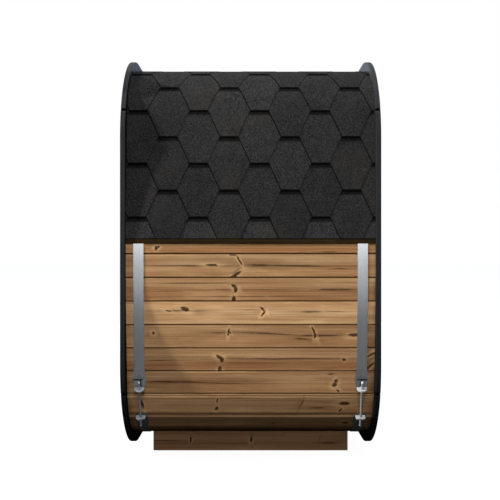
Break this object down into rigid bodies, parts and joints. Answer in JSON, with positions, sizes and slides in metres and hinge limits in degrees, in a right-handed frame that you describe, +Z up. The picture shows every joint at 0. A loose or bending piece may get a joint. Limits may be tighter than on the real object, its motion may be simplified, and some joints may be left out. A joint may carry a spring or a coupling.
{
  "type": "cube sauna",
  "caption": "Rounded-square outdoor sauna cabin of timber staves between two dark rims, with steel tension bands, hexagonal shingle roof and a low base.",
  "frame": {"origin": "middle of the footprint at ground level, under the middle of the cabin", "axes": "+X along the staves towards the door end, +Y across the cabin to the left of a person who leaves through the door, +Z up"},
  "size_m": [1.256, 2.03, 2.08],
  "materials": {
    "stave_wood": "planed, oiled",
    "dark_wood": "planed, dark stain",
    "rim_paint": "black opaque stain",
    "shingle": "mineral granules on bitumen felt",
    "zinc_steel": "galvanised, satin",
    "glass": "tinted, clear"
  },
  "bodies": {
    "root": {"base_left_rail": "dark_wood", "base_right_rail": "dark_wood", "base_front_bearer": "dark_wood", "base_rear_bearer": "dark_wood", "floor_staves": "stave_wood", "ceiling_staves": "stave_wood", "left_wall_staves": "stave_wood", "right_wall_staves": "stave_wood", "lower_left_staves": "stave_wood", "lower_right_staves": "stave_wood", "upper_left_staves": "stave_wood", "upper_right_staves": "stave_wood", "front_wall_left": "stave_wood", "front_wall_right": "stave_wood", "front_wall_over_door": "stave_wood", "front_wall_under_door": "stave_wood", "rear_wall": "stave_wood", "door_left_jamb": "dark_wood", "door_right_jamb": "dark_wood", "door_head": "dark_wood", "door_sill": "dark_wood", "door_glass": "glass", "door_handle": "dark_wood", "door_hinges": "zinc_steel", "front_rim_top": "rim_paint", "front_rim_bottom": "rim_paint", "front_rim_left": "rim_paint", "front_rim_right": "rim_paint", "front_rim_corners": "rim_paint", "rear_rim_top": "rim_paint", "rear_rim_bottom": "rim_paint", "rear_rim_left": "rim_paint", "rear_rim_right": "rim_paint", "rear_rim_corners": "rim_paint", "roof_shingles": "shingle", "left_edge_lath": "dark_wood", "right_edge_lath": "dark_wood", "front_upper_band": "zinc_steel", "rear_upper_band": "zinc_steel", "front_lower_band": "zinc_steel", "rear_lower_band": "zinc_steel", "upper_lugs": "zinc_steel", "lower_lugs": "zinc_steel", "tension_rods": "zinc_steel", "rod_nuts": "zinc_steel"}
  },
  "joints": []
}
